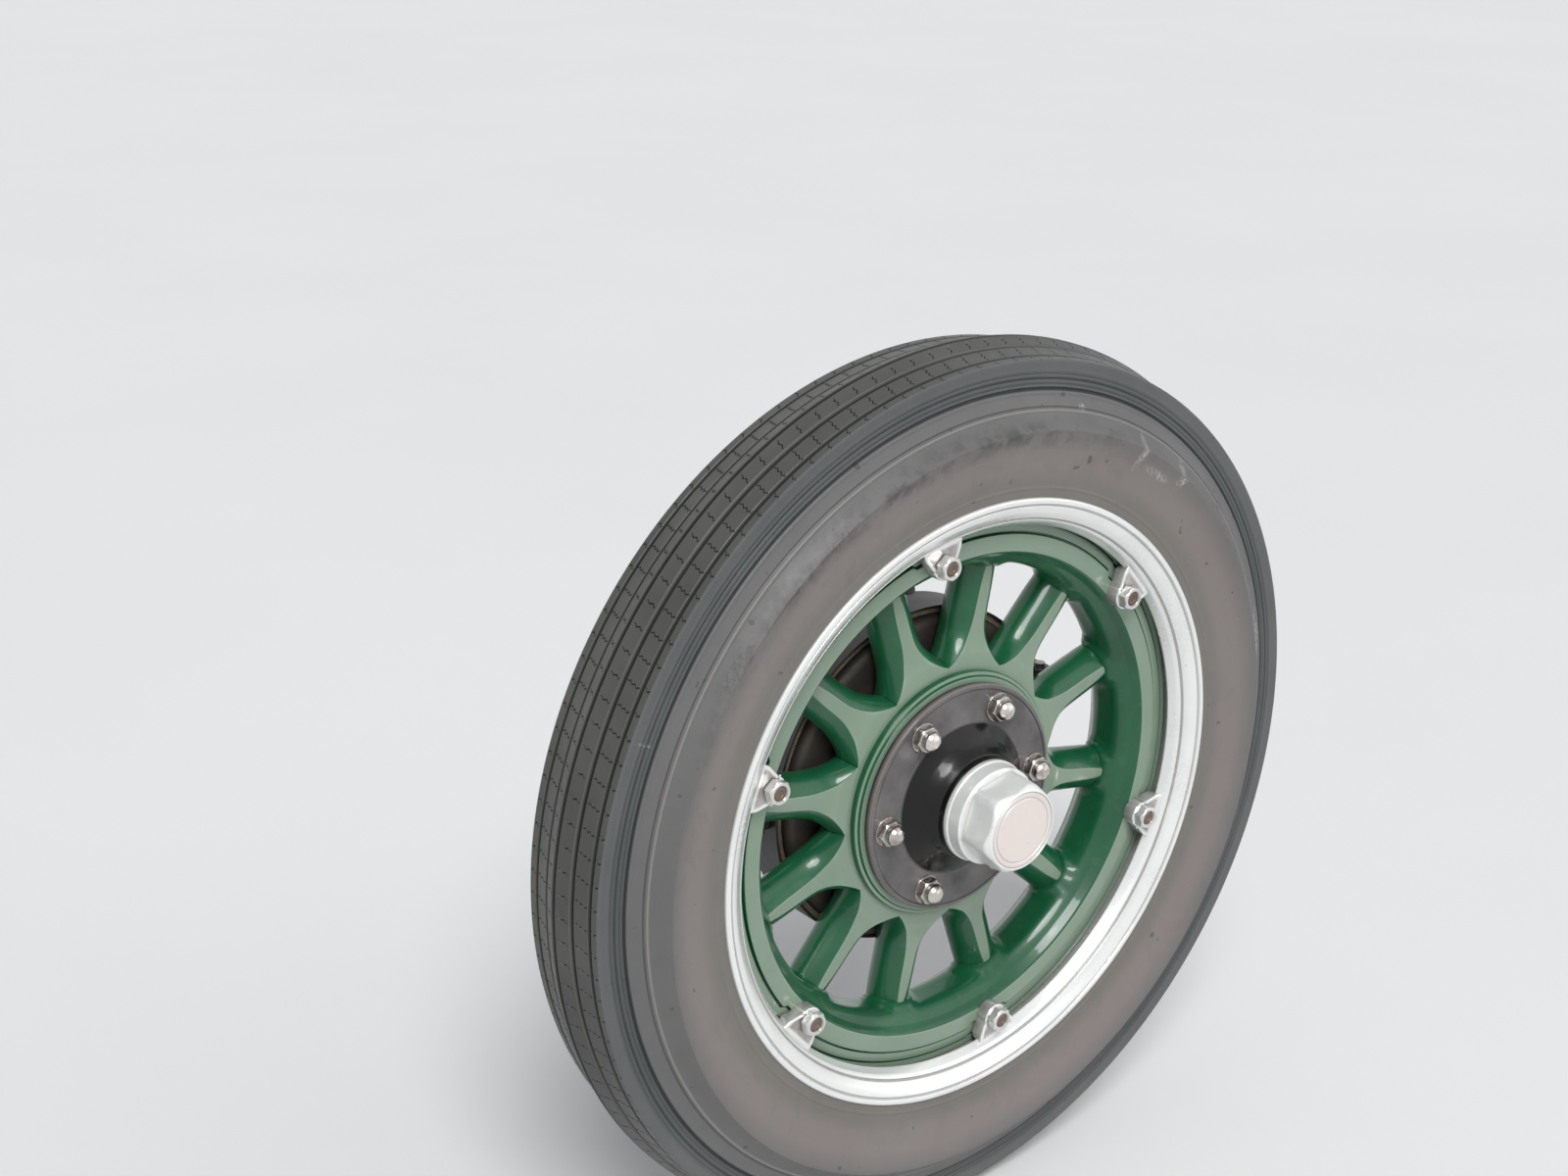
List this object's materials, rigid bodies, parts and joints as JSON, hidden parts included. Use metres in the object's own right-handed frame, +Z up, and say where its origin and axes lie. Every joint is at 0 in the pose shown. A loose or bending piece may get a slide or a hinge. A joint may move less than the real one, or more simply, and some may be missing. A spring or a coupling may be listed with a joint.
{
  "type": "vintage car wheel with axle end",
  "caption": "Wooden-spoked car wheel with a demountable steel rim and tyre, turning on its driven axle end with an external band brake and a spring saddle.",
  "frame": {"origin": "centre of the cut inner end of the axle's housing tube", "axes": "+Y along the axle towards the car's middle, so the hub cap points to -Y; +X towards the car's front; +Z up"},
  "size_m": [0.823, 0.38, 0.823],
  "materials": {
    "tyre_rubber": "worn matte rubber",
    "silver_paint": "silver enamel",
    "green_paint": "gloss enamel",
    "black_paint": "gloss enamel",
    "drum_black": "dull, lightly rusted",
    "chassis_black": "satin black",
    "bare_steel": "oiled bare steel",
    "nickel": "bright nickel plate",
    "valve_rubber": "dusty rubber",
    "woven_lining": "woven brake lining"
  },
  "bodies": {
    "axle": {"axle_housing": "chassis_black", "wheel_bearing": "bare_steel", "brake_anchor": "chassis_black", "brake_band": "chassis_black", "brake_lining": "woven_lining", "brake_screw": "bare_steel", "brake_spring": "bare_steel", "brake_lever": "chassis_black", "spring_seat": "chassis_black"},
    "wheel": {"tyre": "tyre_rubber", "rim": "silver_paint", "felloe": "green_paint", "spoke_01": "green_paint", "spoke_02": "green_paint", "spoke_03": "green_paint", "spoke_04": "green_paint", "spoke_05": "green_paint", "spoke_06": "green_paint", "spoke_07": "green_paint", "spoke_08": "green_paint", "spoke_09": "green_paint", "spoke_10": "green_paint", "spoke_11": "green_paint", "spoke_12": "green_paint", "spoke_ring": "green_paint", "hub_shell": "black_paint", "hub_flange": "black_paint", "hub_bolts": "bare_steel", "hub_nuts": "nickel", "hub_cap": "nickel", "rim_lugs": "silver_paint", "lug_studs": "bare_steel", "lug_nuts": "silver_paint", "valve_stem": "valve_rubber", "brake_drum": "drum_black", "axle_shaft": "bare_steel"}
  },
  "joints": [
    {"name": "wheel_spin", "type": "hinge", "parent": "axle", "child": "wheel", "pos_m": [0, -0.279, 0], "axis": [0, 1, 0], "continuous": true}
  ]
}
